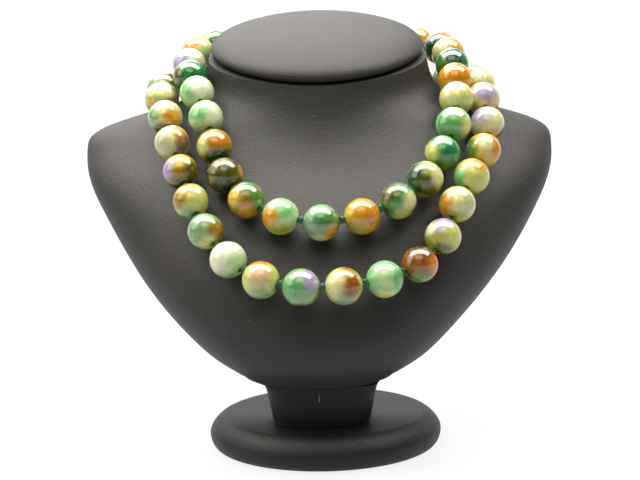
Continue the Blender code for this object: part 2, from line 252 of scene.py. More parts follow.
seam_front = stem_setback - stem_depth / 2
seam_rings = []
for rise in seam_levels:
    # The pale strip narrows towards both ends.
    half = seam_width / 2 * (0.35 + 0.65 * math.sin(math.pi * (0.15 + 0.7 * rise)))
    ring = []
    for k in range(seam_sides):
        turn = math.tau * k / seam_sides
        y = seam_front + seam_proud + half * 0.6 * math.sin(turn)
        ring.append(Vector((seam_x + half * math.cos(turn), y, seam_top - seam_length * (1 - rise))))
    seam_rings.append(ring)
piece("stem_seam_cloth", lofted("stem_seam_cloth", seam_rings), painted_glint_seam_finish(), "leatherette", "stem")

# Bust
# A moulded chest, shoulders and neck, with leatherette stretched over it and
# turned round the edges of its flat leaning back. The sections are shares of
# the sizes above them, from the foot to the top of the neck.
bust_foot = 0.0281
bust_height = 0.148
shoulder_width = 0.193
neck_width = 0.088
chest_reach = 0.045
neck_back_reach = 0.097
back_lean = math.radians(31.8)
back_foot = 0.0082
neck_front_height = 0.113
cap_slant = math.radians(16.5)
section_softness = 0.018
softening = ((-2, 1), (-1, 2), (0, 3), (1, 2), (2, 1))
edge_turn = 0.004
bust_sides = 160
bust_levels = 110
# The foot's soft edge as insets and rises, the rim groove as heights and insets,
# and the height where the plain levels begin.
foot_edge = ((0.0016, 0.0), (0.0007, 0.0003), (0.0002, 0.0009))
rim_groove = ((0.010, 0.0), (0.014, 0.0001), (0.017, 0.0003), (0.020, 0.0001))
levels_from = 0.024
section_columns = ("height", "shoulder", "neck", "front", "middle", "back", "front_power", "back_power",
                   "drift")
sections = (
    (0.000, 0.25, 0.00, -0.67, -0.14, 0.15, 2.00, 2.5, -0.025),
    (0.040, 0.40, 0.00, -0.89, 0.00, 0.18, 2.00, 3.0, -0.018),
    (0.115, 0.54, 0.00, -1.00, 0.06, 0.25, 2.00, 3.0, -0.018),
    (0.215, 0.69, 0.00, -0.93, 0.14, 0.36, 2.00, 3.0, -0.013),
    (0.315, 0.81, 0.00, -0.75, 0.23, 0.45, 2.05, 3.0, -0.004),
    (0.420, 0.915, 0.00, -0.484, 0.33, 0.55, 2.05, 3.0, 0.000),
    (0.485, 0.97, 0.00, -0.269, 0.38, 0.62, 2.03, 3.0, 0.000),
    (0.555, 1.00, 0.00, -0.042, 0.43, 0.68, 1.85, 3.0, 0.000),
    (0.610, 1.00, 0.00, 0.043, 0.47, 0.74, 1.58, 3.0, 0.000),
    (0.650, 0.71, 0.52, 0.075, 0.49, 0.78, 1.45, 3.0, 0.000),
    (0.690, 0.35, 0.77, 0.097, 0.505, 0.80, 1.48, 3.0, 0.000),
    (0.730, 0.10, 0.94, 0.111, 0.51, 0.80, 1.62, 3.0, 0.000),
    (0.770, 0.00, 1.07, 0.121, 0.51, 0.83, 1.78, 3.0, 0.000),
    (0.825, 0.00, 1.03, 0.129, 0.515, 0.87, 1.92, 2.8, 0.000),
    (0.890, 0.00, 1.00, 0.135, 0.535, 0.93, 2.00, 2.6, 0.000),
    (1.000, 0.00, 0.98, 0.141, 0.57, 1.00, 2.00, 2.4, 0.000),
)


def reach(share):
    """A place along Y from its share of the reach before or behind the axis."""
    return share * (chest_reach if share < 0 else neck_back_reach)


def blended(column, share):
    """A column of the sections at a height, smooth and without overshoot."""
    heights = [row[0] for row in sections]
    values = [row[section_columns.index(column)] for row in sections]
    if column in ("front", "middle", "back"):
        values = [reach(value) for value in values]
    steps = [b - a for a, b in zip(heights, heights[1:])]
    rises = [(b - a) / s for a, b, s in zip(values, values[1:], steps)]
    slopes = [rises[0]]
    for before, after in zip(rises, rises[1:]):
        slopes.append(0.0 if before * after <= 0 else 2 * before * after / (before + after))
    slopes.append(rises[-1])
    i = max(k for k in range(len(steps)) if k == 0 or share > heights[k])
    t = (share - heights[i]) / steps[i]
    bend = slopes[i] * t * (1 - t) ** 2 - slopes[i + 1] * t * t * (1 - t)
    return values[i] * (1 + 2 * t) * (1 - t) ** 2 + values[i + 1] * t * t * (3 - 2 * t) + steps[i] * bend


def section_size(column, share):
    """A column averaged over nearby heights, so that no row shows as a ridge."""
    total = 0.0
    for step, weight in softening:
        total += weight * blended(column, min(max(share + step * section_softness, 0.0), 1.0))
    return total / sum(weight for _, weight in softening)


def half_width(share):
    """Half the bust's width at a height."""
    return section_size("shoulder", share) * shoulder_width / 2 + section_size("neck", share) * neck_width / 2


def back_y(height):
    """Where the flat back is at a height above the bust's foot."""
    return back_foot + height * math.tan(back_lean)


def bust_ring(share, inset=0.0):
    """One level section, with the cover's soft turn where it meets the flat back."""
    wide = half_width(share) - inset
    middle = section_size("middle", share)
    front = middle - section_size("front", share) - inset
    back = section_size("back", share) - middle - inset
    flat = back_y(share * bust_height) - inset
    ring = []
    for i in range(bust_sides):
        c, s = math.cos(math.tau * (i + 0.5) / bust_sides), math.sin(math.tau * (i + 0.5) / bust_sides)
        power = 2 / section_size("back_power" if s > 0 else "front_power", share)
        x = section_size("drift", share) * shoulder_width / 2 + wide * math.copysign(abs(c) ** power, c)
        y = middle + (back if s > 0 else front) * math.copysign(abs(s) ** power, s)
        near = max(edge_turn - abs(y - flat), 0.0) / edge_turn
        ring.append(Vector((x, min(y, flat) - near * near * edge_turn / 4, bust_foot + share * bust_height)))
    return ring


bust_rings = []
for inset, rise in foot_edge:
    bust_rings.append([p + Vector((0, 0, rise)) for p in bust_ring(0.0, inset)])
for share, inset in rim_groove:
    bust_rings.append(bust_ring(share, inset))
for i in range(bust_levels):
    bust_rings.append(bust_ring(levels_from + (1 - levels_from) * i / (bust_levels - 1)))
bust_mesh = lofted("leather_covered_bust", bust_rings)
cap_normal = Vector((0, -math.sin(cap_slant), math.cos(cap_slant)))
cap_seat = Vector((0, reach(sections[-2][3]), bust_foot + neck_front_height))
bm = bmesh.new()
bm.from_mesh(bust_mesh)
cut = bmesh.ops.bisect_plane(bm, geom=bm.verts[:] + bm.edges[:] + bm.faces[:], dist=1e-7,
                             plane_co=cap_seat, plane_no=cap_normal, clear_outer=True)
bmesh.ops.holes_fill(bm, edges=[e for e in cut["geom_cut"] if isinstance(e, bmesh.types.BMEdge)], sides=0)
bmesh.ops.recalc_face_normals(bm, faces=bm.faces)
bm.to_mesh(bust_mesh)
bm.free()
piece("leather_covered_bust", bust_mesh, leather, "leatherette", "bust_body")

# Back panel
# A thin board in the same leatherette, glued on the flat back over the turned
# edges of the cover. Its rim shows as a second line along the bust's lower edges.
panel_gap = 0.0003
panel_thickness = 0.0018
panel_rim = 0.0006
panel_foot_share = 0.03
panel_top_share = 0.70
panel_foot_taper = 0.14
panel_foot_grip = 0.35
panel_levels = 60
panel_edge = ((0.0003, 0.0), (0.0, 0.0004), (0.0, 0.0012), (0.0003, 0.0016), (0.0009, panel_thickness))

outline = []
for i in range(panel_levels + 1):
    rise = i / panel_levels
    share = panel_foot_share + (panel_top_share - panel_foot_share) * rise
    y = back_y(share * bust_height)
    middle = section_size("middle", share)
    back = section_size("back", share) - middle
    power = section_size("back_power", share)
    flat = half_width(share) * max(0.0, 1 - ((y - middle) / back) ** power) ** (1 / power)
    grip = min(1.0, panel_foot_grip + (1 - panel_foot_grip) * rise / panel_foot_taper)
    wide = flat + (half_width(share) + panel_rim - flat) * (1 - rise) * grip
    drift = section_size("drift", share) * shoulder_width / 2
    outline.append((drift, wide, y, bust_foot + share * bust_height))
rim = [Vector((drift + wide, y, z)) for drift, wide, y, z in outline]
rim += [Vector((drift - wide, y, z)) for drift, wide, y, z in outline[::-1]]
back_normal = Vector((0, math.cos(back_lean), -math.sin(back_lean)))
centre = sum(rim, Vector()) / len(rim)
panel_rings = []
for inset, depth in panel_edge:
    lift = back_normal * (panel_gap + depth)
    panel_rings.append([point + (centre - point).normalized() * inset + lift for point in rim])
piece("back_panel_board", lofted("back_panel_board", panel_rings), leather, "leatherette", "back_panel")

# Neck cap
# An oval board padded with a little foam and covered in the same leatherette,
# glued on the slanted top of the neck, so that its rounded rim overhangs a touch.
cap_width = 0.0888
cap_depth = 0.086
cap_thickness = 0.009
cap_gap = 0.0003
cap_power = 1.9
cap_sides = 144
cap_outline = ((0.93, 0.0), (0.955, 0.03), (0.978, 0.08), (0.994, 0.16), (1.0, 0.25), (0.997, 0.33),
               (0.985, 0.42), (0.965, 0.51), (0.94, 0.6), (0.90, 0.68), (0.86, 0.735), (0.8, 0.79),
               (0.74, 0.84), (0.67, 0.88), (0.6, 0.91), (0.5, 0.945), (0.4, 0.97), (0.28, 0.99), (0.15, 1.0))

cap_place = Matrix.Translation(cap_seat + cap_normal * cap_gap) @ Matrix.Rotation(cap_slant, 4, "X")
cap_shift = Vector((0, cap_depth / 2 - (cap_width - neck_width), 0))
cap_rings = []
for spread, rise in cap_outline:
    ring = rounded(cap_width / 2 * spread, cap_depth / 2 * spread, cap_power, cap_sides, rise * cap_thickness)
    cap_rings.append([cap_place @ (point + cap_shift) for point in ring])
cap = piece("padded_neck_cap", lofted("padded_neck_cap", cap_rings), leather, "leatherette", "neck_cap")

# Beads
# Round drilled beads of translucent dyed stone, about 14 mm, tumbled to a glassy
# polish. They hang in one endless rope, twice round the neck, and the route has
# one chosen point at about every second bead.
bead_diameter = 0.014
bead_count = 58
bore_diameter = 0.0023
bore_mouth = 0.00035
bead_variation = 0.012
bead_sides = 56
bead_levels = 36
route_mm = (
    (-44, 80.5, 156), (-53.5, 53, 149), (-48.5, 23, 138.5), (-40.5, -0.5, 118),
    (-29.5, -19.5, 101), (0.5, -30, 92), (33.5, -20, 101), (49.5, 0, 117.5),
    (55, 17.5, 133), (56, 52, 148), (52.5, 80, 153), (35.5, 96, 154),
    (4, 103.5, 143.5), (-25, 96, 137), (-53.5, 72.5, 141.5), (-64, 50, 140),
    (-62, 22.5, 131.5), (-53.5, -5.5, 109), (-43, -26.5, 88.5), (-23, -41.5, 73),
    (9.5, -47, 71), (38.5, -35, 78), (52.5, -17.5, 97.5), (65.5, 7.5, 117.5),
    (66.5, 33, 135.5), (63.5, 61, 139.5), (44.5, 80, 138.5), (13.5, 87.5, 140.5),
    (-22.5, 90.5, 148.5),
)
tones = {
    "emerald": "#2a8450", "green": "#4f9652", "leaf": "#6c9440", "jade": "#72b074", "mint": "#8fcb8c",
    "pale_mint": "#c4dca6", "sage": "#8fb07e", "teal": "#3a6858", "teal_grey": "#8aa888", "pine": "#335c26",
    "olive": "#686412", "dark_olive": "#3c4a0c", "ochre": "#a88a1a", "lime": "#b6b84e", "amber": "#d6a012",
    "orange": "#d08e0c", "rust": "#a0640a", "brown": "#5e4610", "yellow": "#d8bc40", "lemon": "#cfd07c",
    "cream": "#dadaa2", "white": "#e9ebd0", "grey": "#c3c69e", "lilac": "#aea2be", "mauve": "#8c7054",
    "blush": "#dabf98",
}
# Each bead's ground colour, then its clouds of dye: across and up as the
# photograph shows the bead, in its radii, then the cloud's size and colour.
bead_chart = (
    ("green", (-0.8, 0.1, 0.5, "amber"), (0.3, -0.2, 0.7, "emerald")),
    ("lemon", (-0.4, 0.6, 0.5, "orange"), (0.5, -0.4, 0.6, "pale_mint")),
    ("white", (-0.6, 0.2, 0.7, "lilac"), (0.6, -0.6, 0.5, "olive"), (0.7, 0.4, 0.4, "cream")),
    ("emerald", (-0.8, 0.1, 0.5, "olive"), (0.2, -0.8, 0.4, "leaf"), (0.4, 0.1, 0.6, "emerald")),
    ("pale_mint", (-0.5, 0.2, 0.6, "mint"), (0.3, 0.4, 0.5, "white"), (0.0, -0.95, 0.4, "yellow")),
    ("pale_mint", (-0.5, 0.4, 0.6, "mint"), (0.1, -0.9, 0.5, "grey"), (0.6, 0.0, 0.4, "white")),
    ("ochre", (-0.75, 0.0, 0.5, "lemon"), (0.2, 0.5, 0.5, "orange"), (0.2, -0.75, 0.55, "pine")),
    ("olive", (0.95, 0.2, 0.3, "amber"), (0.0, -0.7, 0.6, "dark_olive"), (-0.5, 0.3, 0.4, "olive")),
    ("ochre", (-0.75, 0.1, 0.45, "yellow"), (0.8, 0.1, 0.5, "leaf"), (0.1, 0.85, 0.5, "green"),
     (0.0, -0.6, 0.35, "amber")),
    ("pale_mint", (0.1, 0.6, 0.6, "mint"), (-0.65, -0.1, 0.55, "amber"), (0.1, -0.8, 0.5, "lime")),
    ("teal_grey", (0.2, 0.2, 0.45, "green"), (0.0, 0.8, 0.4, "mint"), (0.75, 0.2, 0.4, "leaf"),
     (0.55, -0.55, 0.4, "amber"), (-0.2, -0.9, 0.4, "cream")),
    ("amber", (-0.85, 0.2, 0.4, "yellow"), (0.6, 0.1, 0.5, "orange"), (-0.2, -0.85, 0.45, "lime")),
    ("green", (-0.6, 0.5, 0.6, "olive"), (0.75, 0.0, 0.5, "cream"), (0.2, -0.85, 0.5, "lemon")),
    ("lime", (-0.7, 0.1, 0.7, "pine"), (0.1, -0.5, 0.6, "olive"), (0.75, 0.2, 0.5, "cream")),
    ("green", (0.6, 0.0, 0.6, "emerald"), (-0.75, 0.1, 0.45, "lemon"), (0.0, -0.85, 0.4, "leaf"),
     (0.0, 0.85, 0.4, "mint")),
    ("mint", (-0.2, 0.0, 0.7, "jade"), (0.8, -0.1, 0.45, "lemon"), (0.1, 0.8, 0.4, "pale_mint")),
    ("lemon", (0.1, -0.85, 0.5, "lime"), (-0.3, 0.5, 0.6, "cream")),
    ("amber", (0.3, 0.4, 0.6, "orange"), (-0.5, -0.6, 0.4, "yellow")),
    ("green", (0.0, 0.6, 0.7, "teal"), (0.6, -0.6, 0.5, "brown"), (-0.6, -0.3, 0.4, "leaf")),
    ("lime", (0.5, 0.5, 0.5, "amber"), (-0.5, -0.2, 0.6, "cream")),
    ("teal", (0.5, 0.6, 0.4, "orange"), (-0.3, -0.3, 0.6, "pine")),
    ("yellow", (0.0, 0.6, 0.6, "amber"), (0.2, -0.7, 0.6, "lime")),
    ("mint", (0.4, 0.4, 0.6, "cream"), (-0.5, -0.4, 0.6, "green")),
    ("cream", (-0.4, 0.4, 0.6, "amber"), (0.5, -0.3, 0.6, "lime")),
    ("green", (0.5, 0.3, 0.6, "emerald"), (-0.5, -0.4, 0.5, "cream")),
    ("grey", (-0.3, 0.5, 0.6, "lilac"), (0.4, -0.5, 0.6, "olive")),
    ("amber", (0.3, 0.4, 0.6, "rust"), (-0.5, -0.3, 0.6, "yellow")),
    ("pale_mint", (-0.4, 0.1, 0.6, "jade"), (0.6, -0.4, 0.5, "cream")),
    ("olive", (0.3, 0.4, 0.6, "pine"), (-0.5, -0.4, 0.5, "amber")),
    ("pale_mint", (0.4, 0.3, 0.6, "cream"), (-0.5, -0.3, 0.5, "sage")),
    ("cream", (-0.7, 0.0, 0.5, "sage"), (0.7, 0.5, 0.5, "olive"), (0.2, -0.7, 0.4, "grey")),
    ("grey", (-0.6, -0.3, 0.35, "yellow"), (0.8, 0.1, 0.5, "mauve"), (0.1, 0.5, 0.5, "cream")),
    ("cream", (0.4, 0.0, 0.5, "amber"), (-0.7, 0.1, 0.45, "sage"), (0.0, -0.8, 0.5, "olive"),
     (0.1, 0.8, 0.4, "blush")),
    ("cream", (0.75, 0.0, 0.5, "mauve"), (0.4, 0.65, 0.35, "orange"), (-0.6, 0.0, 0.5, "grey")),
    ("ochre", (-0.8, 0.1, 0.45, "lilac"), (0.0, 0.7, 0.45, "yellow"), (0.7, -0.1, 0.5, "olive"),
     (0.1, -0.85, 0.5, "dark_olive")),
    ("lemon", (-0.75, 0.1, 0.5, "ochre"), (-0.2, 0.75, 0.4, "amber"), (0.0, -0.85, 0.5, "sage")),
    ("sage", (0.75, 0.1, 0.5, "ochre"), (0.2, -0.7, 0.4, "lemon"), (-0.6, 0.4, 0.4, "teal_grey")),
    ("white", (0.6, -0.3, 0.6, "pale_mint"), (0.0, -0.95, 0.5, "sage")),
    ("lemon", (0.0, 0.95, 0.5, "orange"), (-0.2, 0.3, 0.5, "blush"), (0.0, -0.85, 0.5, "sage"),
     (0.95, -0.3, 0.35, "green")),
    ("sage", (0.6, 0.4, 0.5, "lilac"), (-0.6, 0.0, 0.6, "jade"), (0.0, -0.98, 0.3, "olive")),
    ("lemon", (0.5, 0.0, 0.6, "rust"), (-0.6, 0.1, 0.5, "cream"), (0.0, -0.9, 0.45, "teal_grey"),
     (0.2, 0.9, 0.4, "ochre")),
    ("mint", (0.1, 0.1, 0.5, "pale_mint"), (0.8, 0.0, 0.4, "jade"), (0.0, -0.85, 0.45, "lemon")),
    ("rust", (0.0, 0.9, 0.5, "brown"), (0.8, -0.1, 0.4, "orange"), (0.0, -0.85, 0.5, "leaf")),
    ("lime", (0.0, 0.75, 0.55, "lilac"), (0.5, 0.0, 0.5, "lemon"), (0.0, -0.85, 0.5, "olive"),
     (-0.8, 0.4, 0.3, "white")),
    ("cream", (-0.8, 0.0, 0.5, "amber"), (0.1, -0.85, 0.5, "lime"), (0.7, 0.1, 0.4, "grey")),
    ("lemon", (0.4, 0.75, 0.45, "amber"), (-0.8, -0.1, 0.4, "mint"), (0.2, -0.9, 0.4, "lime")),
    ("yellow", (-0.8, 0.1, 0.45, "leaf"), (0.75, 0.1, 0.5, "orange"), (0.0, 0.3, 0.4, "cream")),
    ("cream", (-0.5, 0.6, 0.6, "lilac"), (0.5, -0.7, 0.45, "amber"), (0.85, -0.5, 0.35, "green")),
    ("blush", (0.0, 0.4, 0.6, "lilac"), (-0.5, -0.5, 0.5, "cream")),
    ("lemon", (-0.7, 0.5, 0.4, "orange"), (0.3, 0.0, 0.6, "cream")),
    ("pale_mint", (0.0, 0.2, 0.7, "sage"), (0.5, -0.5, 0.5, "cream")),
    ("green", (0.4, 0.4, 0.6, "olive"), (-0.5, -0.3, 0.6, "cream")),
    ("amber", (0.0, 0.5, 0.6, "orange"), (0.3, -0.5, 0.6, "cream")),
    ("mint", (0.5, 0.1, 0.6, "emerald"), (-0.5, -0.4, 0.6, "cream")),
    ("cream", (-0.3, 0.4, 0.6, "lilac"), (0.5, -0.3, 0.6, "jade")),
    ("olive", (0.4, 0.4, 0.6, "amber"), (-0.4, -0.4, 0.6, "green")),
    ("pale_mint", (-0.4, 0.4, 0.6, "green"), (0.5, -0.4, 0.6, "rust")),
    ("lemon", (0.3, 0.3, 0.7, "amber"), (-0.5, -0.4, 0.5, "mint")),
)


def rope_places():
    """The centre of each bead and the way the rope runs through it."""
    points = np.array(route_mm, float) / 1000
    count = len(points)
    system = 4 * np.eye(count) + np.roll(np.eye(count), 1, axis=0) + np.roll(np.eye(count), -1, axis=0)
    slopes = np.linalg.solve(system, 3 * (np.roll(points, -1, axis=0) - np.roll(points, 1, axis=0)))
    t = np.arange(24)[:, None] / 24
    stretches = []
    for i in range(count):
        j = (i + 1) % count
        stretches.append(points[i] * (1 + 2 * t) * (1 - t) ** 2 + points[j] * t * t * (3 - 2 * t)
                         + slopes[i] * t * (1 - t) ** 2 - slopes[j] * t * t * (1 - t))
    loop = np.vstack(stretches + [points[:1]])
    along = np.concatenate([[0.0], np.cumsum(np.linalg.norm(np.diff(loop, axis=0), axis=1))])
    stations = along[-1] * np.arange(bead_count) / bead_count
    places = np.column_stack([np.interp(stations, along, loop[:, k]) for k in range(3)])
    ways = np.roll(places, -1, axis=0) - np.roll(places, 1, axis=0)
    return places, ways / np.linalg.norm(ways, axis=1)[:, None]


places, ways = rope_places()


# Dyed and polished quartzite: clouds of dye with soft ragged borders, pale
# veins and specks, and a little light carried through each bead to its rim.
def dyed_stone():
    mottle_mm, vein_mm = 1.6, 4
    finish, tree, shader = new_finish("dyed_polished_quartzite")
    place = node(tree, "ShaderNodeTexCoord").outputs["Object"]
    dye = node(tree, "ShaderNodeAttribute", attribute_name="dye")
    mottle = node(tree, "ShaderNodeTexNoise", {"Vector": place}, Scale=1000 / mottle_mm, Detail=6.0,
                  Roughness=0.62)
    veins = node(tree, "ShaderNodeTexNoise", {"Vector": place}, Scale=1000 / vein_mm, Detail=5.0,
                 Distortion=1.6)
    shade = node(tree, "ShaderNodeMapRange", {"Value": mottle.outputs["Fac"]})
    shade.inputs["From Min"].default_value = 0.3
    shade.inputs["From Max"].default_value = 0.7
    shade.inputs["To Min"].default_value = 0.8
    shade.inputs["To Max"].default_value = 1.0
    mixed = node(tree, "ShaderNodeVectorMath", {0: dye.outputs["Color"]}, operation="SCALE")
    tree.links.new(shade.outputs["Result"], mixed.inputs["Scale"])
    ridge = node(tree, "ShaderNodeValToRGB", {"Fac": veins.outputs["Fac"]})
    ramp = ridge.color_ramp
    ramp.elements[0].position, ramp.elements[0].color = 0.46, (0, 0, 0, 1)
    ramp.elements[1].position, ramp.elements[1].color = 0.54, (0, 0, 0, 1)
    peak = ramp.elements.new(0.5)
    peak.color = (0.08, 0.08, 0.08, 1)
    colour = node(tree, "ShaderNodeMix", {"Factor": ridge.outputs["Color"], "A": mixed.outputs["Vector"]},
                  data_type="RGBA")
    colour.inputs[7].default_value = linear("#dde0bc")
    tree.links.new(colour.outputs[2], shader.inputs["Base Color"])
    shader.inputs["Roughness"].default_value = 0.04
    shader.inputs["IOR"].default_value = 1.55
    shader.inputs["Coat Weight"].default_value = 0.7
    shader.inputs["Coat Roughness"].default_value = 0.02
    shader.inputs["Subsurface Weight"].default_value = 1.0
    shader.inputs["Subsurface Radius"].default_value = (1.0, 1.0, 0.8)
    shader.inputs["Subsurface Scale"].default_value = 0.004
    shader.inputs["Subsurface Anisotropy"].default_value = 0.6
    shader.inputs["Transmission Weight"].default_value = 0.2
    return finish


stone = dyed_stone()


def turned_bead():
    """A ball on the Z axis with an open bore and a softened mouth at each end."""
    ball, bore = bead_diameter / 2, bore_diameter / 2
    mouth = math.asin((bore + bore_mouth) / ball)
    profile = [(bore, -0.8 * ball * math.cos(mouth)), (bore, -ball * math.cos(mouth) + 0.0003)]
    for i in range(bead_levels + 1):
        turn = mouth + (math.pi - 2 * mouth) * i / bead_levels
        profile.append((ball * math.sin(turn), -ball * math.cos(turn)))
    profile += [(r, -h) for r, h in profile[1::-1]]
    bm = bmesh.new()
    rows = []
    for radius, height in profile:
        row = []
        for i in range(bead_sides):
            turn = math.tau * i / bead_sides
            row.append(bm.verts.new((radius * math.cos(turn), radius * math.sin(turn), height)))
        rows.append(row)
    for low, high in zip(rows, rows[1:] + rows[:1]):
        for i in range(bead_sides):
            j = (i + 1) % bead_sides
            bm.faces.new((low[i], low[j], high[j], high[i]))
    bmesh.ops.recalc_face_normals(bm, faces=bm.faces)
    mesh = bpy.data.meshes.new("turned_bead")
    bm.to_mesh(mesh)
    bm.free()
    return mesh


def threading_tree(name, finish):
    """Sets one shape on every point of a row, turned along the way that the rope runs there."""
    tree = bpy.data.node_groups.new(name, "GeometryNodeTree")
    tree.interface.new_socket("Row", in_out="INPUT", socket_type="NodeSocketGeometry")
    tree.interface.new_socket("Shape", in_out="INPUT", socket_type="NodeSocketObject")
    tree.interface.new_socket("Size", in_out="INPUT", socket_type="NodeSocketFloat")
    tree.interface.new_socket("Threaded", in_out="OUTPUT", socket_type="NodeSocketGeometry")
    given = node(tree, "NodeGroupInput")
    shape = node(tree, "GeometryNodeObjectInfo", {"Object": given.outputs["Shape"]})
    way = node(tree, "GeometryNodeInputNamedAttribute", data_type="FLOAT_VECTOR", Name="way")
    fatness = node(tree, "GeometryNodeInputNamedAttribute", data_type="FLOAT", Name="fatness")
    turned = node(tree, "FunctionNodeAlignRotationToVector", {"Vector": way.outputs["Attribute"]}, axis="Z")
    size = node(tree, "ShaderNodeMath", {0: fatness.outputs["Attribute"], 1: given.outputs["Size"]},
                operation="MULTIPLY")
    threaded = node(tree, "GeometryNodeInstanceOnPoints",
                    {"Points": given.outputs["Row"], "Instance": shape.outputs["Geometry"],
                     "Rotation": turned.outputs["Rotation"], "Scale": size.outputs[0]})
    whole = node(tree, "GeometryNodeRealizeInstances", {"Geometry": threaded.outputs["Instances"]})
    dressed = node(tree, "GeometryNodeSetMaterial", {"Geometry": whole.outputs["Geometry"]}, Material=finish)
    node(tree, "NodeGroupOutput", {"Threaded": dressed.outputs["Geometry"]})
    return tree


def grown(name, mesh, tree, **inputs):
    """The plain mesh that a tree grows from a mesh, with the tree's named inputs set."""
    seed = bpy.data.objects.new(name, mesh)
    bpy.context.scene.collection.objects.link(seed)
    modifier = seed.modifiers.new("grown", "NODES")
    modifier.node_group = tree
    sockets = {item.name: item.identifier for item in tree.interface.items_tree if item.in_out == "INPUT"}
    for title, value in inputs.items():
        modifier[sockets[title]] = value
    depsgraph = bpy.context.evaluated_depsgraph_get()
    made = bpy.data.meshes.new_from_object(seed.evaluated_get(depsgraph), depsgraph=depsgraph)
    seed.modifiers.clear()
    bpy.data.objects.remove(seed)
    return made


def points_mesh(name, where, way, fatness):
    """Loose points that carry the rope's way and the size of what sits on them."""
    mesh = bpy.data.meshes.new(name)
    mesh.from_pydata([tuple(p) for p in where], [], [])
    ways_kept = mesh.attributes.new("way", "FLOAT_VECTOR", "POINT")
    ways_kept.data.foreach_set("vector", np.array(way, np.float32).ravel())
    sizes_kept = mesh.attributes.new("fatness", "FLOAT", "POINT")
    sizes_kept.data.foreach_set("value", np.array(fatness, np.float32))
    return mesh


def paint_dye(mesh, beads):
    """Gives each point of a row its bead's colours, with borders that wander like dye in stone."""
    # A cloud's edge wanders by about a third of its size and frays by a tenth, then
    # fades over a soft band into the ground colour.
    wander_scale, wander_share = 170, 0.30
    fray_scale, fray_share = 700, 0.10
    spots = np.zeros(len(mesh.vertices) * 3, np.float32)
    mesh.vertices.foreach_get("co", spots)
    spots = spots.reshape(-1, 3).astype(float)
    nearest = np.argmin(np.linalg.norm(spots[:, None] - places[beads][None], axis=2), axis=1)
    dyes = np.ones((len(spots), 4))
    for k, bead in enumerate(beads):
        mine = np.where(nearest == k)[0]
        out = spots[mine] - places[bead]
        out /= np.linalg.norm(out, axis=1)[:, None]
        wander = np.array([noise.noise(Vector(p) * wander_scale) for p in spots[mine]])
        fray = np.array([noise.noise(Vector(p) * fray_scale) for p in spots[mine]])
        ground, *clouds = bead_chart[bead]
        colour = np.tile(linear(tones[ground])[:3], (len(mine), 1))
        for x, y, size, tone in clouds:
            toward = math.sqrt(max(0.04, 1 - x * x - y * y))
            aim = np.array((across * x + above * y - sight * toward).normalized())
            for side in (1, -1):
                apart = np.arccos(np.clip(out @ aim * side, -1, 1))
                edge = apart / (size * 1.15) + wander_share * wander + fray_share * fray
                share = np.clip((1.45 - edge) / 0.85, 0, 1)[:, None]
                share = share * share * (3 - 2 * share)
                colour = colour * (1 - share) + np.array(linear(tones[tone])[:3]) * share
        dyes[mine, :3] = colour
    layer = mesh.attributes.new("dye", "FLOAT_COLOR", "POINT")
    layer.data.foreach_set("color", dyes.astype(np.float32).ravel())


bead_shape = bpy.data.objects.new("turned_bead", turned_bead())
bead_tree = threading_tree("beads_on_rope", stone)
# Which of the rope's beads hang in each row, counted from behind the neck's left side.
inner_row = list(range(1, 21))
outer_row = list(range(30, 50))
over_row = list(range(21, 30))
under_row = [i % bead_count for i in range(50, 59)]
rows = (("inner_row_beads", inner_row, [f"inner_bead_{i:02d}" for i in range(1, 21)]),
        ("outer_row_beads", outer_row, [f"outer_bead_{i:02d}" for i in range(1, 21)]),
        ("rear_beads_over", over_row, ["rear_string_over"]),
        ("rear_beads_under", under_row, ["rear_string_under"]))
for name, beads, nodes in rows:
    fatness = [1 + bead_variation * math.sin(7.3 * i) for i in beads]
    mesh = grown(name, points_mesh(name, places[beads], ways[beads], fatness), bead_tree,
                 Shape=bead_shape, Size=1.0)
    paint_dye(mesh, beads)
    piece(name, mesh, stone, "stone_beads", *nodes, crease=60)
bpy.data.objects.remove(bead_shape)

# Silk
# Dark green twisted silk, run through every bore, with an overhand knot tied
# tight in each gap so that the beads keep apart.
silk_diameter = 0.0011
knot_width = 0.0034
knot_height = 0.00084
knot_steps = 40
thread_reach = bead_diameter * 0.45


# Dyed silk cord: fine twisted plies that give it a soft broken gloss.
def silk_cord():
    ply_mm = 1.1
    finish, tree, shader = new_finish("twisted_green_silk")
    place = node(tree, "ShaderNodeTexCoord").outputs["Object"]
    plies = node(tree, "ShaderNodeTexWave", {"Vector": place}, Scale=1000 / ply_mm, Distortion=3.0,
                 bands_direction="DIAGONAL")
    # Painted shade: the grooves between the plies are a deeper green than their ridges.
    tone = node(tree, "ShaderNodeValToRGB", {"Fac": plies.outputs["Color"]})
    tone.color_ramp.elements[0].color = linear("#07301f")
    tone.color_ramp.elements[1].color = linear("#0f6b42")
    bump = node(tree, "ShaderNodeBump", {"Height": plies.outputs["Fac"]}, Strength=0.6, Distance=0.00015)
    tree.links.new(tone.outputs["Color"], shader.inputs["Base Color"])
    tree.links.new(bump.outputs["Normal"], shader.inputs["Normal"])
    shader.inputs["Roughness"].default_value = 0.42
    shader.inputs["Sheen Weight"].default_value = 0.3
    return finish


silk_finish = silk_cord()


